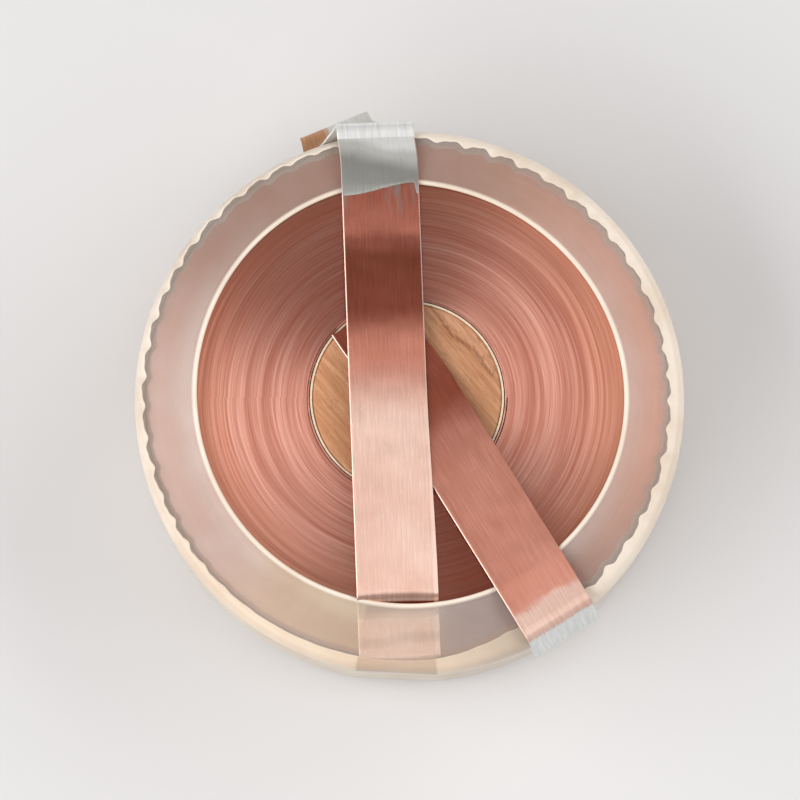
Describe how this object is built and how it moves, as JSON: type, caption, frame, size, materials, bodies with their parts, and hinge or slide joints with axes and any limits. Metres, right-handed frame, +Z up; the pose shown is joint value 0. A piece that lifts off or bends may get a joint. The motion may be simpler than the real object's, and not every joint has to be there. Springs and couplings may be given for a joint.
{
  "type": "copper foil tape roll",
  "caption": "Copper foil wound on a wooden core in a gathered clear film sleeve, with two flat foil leads folded across the face and tinned at the ends.",
  "frame": {"origin": "centre of the wooden core's lower end, on the roll's axis and in the plane that the roll stands on", "axes": "+Z up along the roll's axis; the outer lead runs across the top face nearly along +Y, from its fold on the -Y side to the rim on the +Y side"},
  "size_m": [0.1084, 0.1133, 0.0338],
  "materials": {
    "copper": "rolled bare copper foil, satin",
    "tinned_copper": "copper foil dipped in solder, wiped",
    "solder": "wiped solder coat, satin",
    "film": "clear shrink film, slightly cloudy",
    "wood": "bare turned beech",
    "paper": "plain cream paper"
  },
  "bodies": {
    "root": {"wood_core": "wood", "core_liner": "paper", "foil_first_turn": "copper", "foil_winding": "copper", "foil_last_turn": "copper", "film_sleeve": "film", "inner_lead_riser": "copper", "outer_lead_riser": "copper", "outer_lead_foot": "copper", "inner_lead_root": "copper"},
    "outer_lead": {"outer_lead_strap": "copper", "outer_lead_solder": "solder"},
    "outer_tail": {"outer_lead_tail": "tinned_copper"},
    "inner_lead": {"inner_lead_strap": "copper"},
    "inner_tail": {"inner_lead_tail": "tinned_copper"}
  },
  "joints": [
    {"name": "outer_lead_lift", "type": "hinge", "parent": "root", "child": "outer_lead", "pos_m": [-0.0023, -0.03827, 0.03345], "axis": [0.9993, 0.0377, 0], "range_deg": [0, 120]},
    {"name": "outer_tail_bend", "type": "hinge", "parent": "outer_lead", "child": "outer_tail", "pos_m": [-0.00569, 0.05181, 0.03305], "axis": [0.9993, 0.0377, 0], "range_deg": [0, 88]},
    {"name": "inner_lead_lift", "type": "hinge", "parent": "root", "child": "inner_lead", "pos_m": [0.01151, -0.01435, 0.03281], "axis": [-0.8522, -0.5232, 0], "range_deg": [0, 85]},
    {"name": "inner_tail_bend", "type": "hinge", "parent": "inner_lead", "child": "inner_tail", "pos_m": [0.02909, -0.04299, 0.03305], "axis": [-0.8522, -0.5232, 0], "range_deg": [0, 88]}
  ]
}
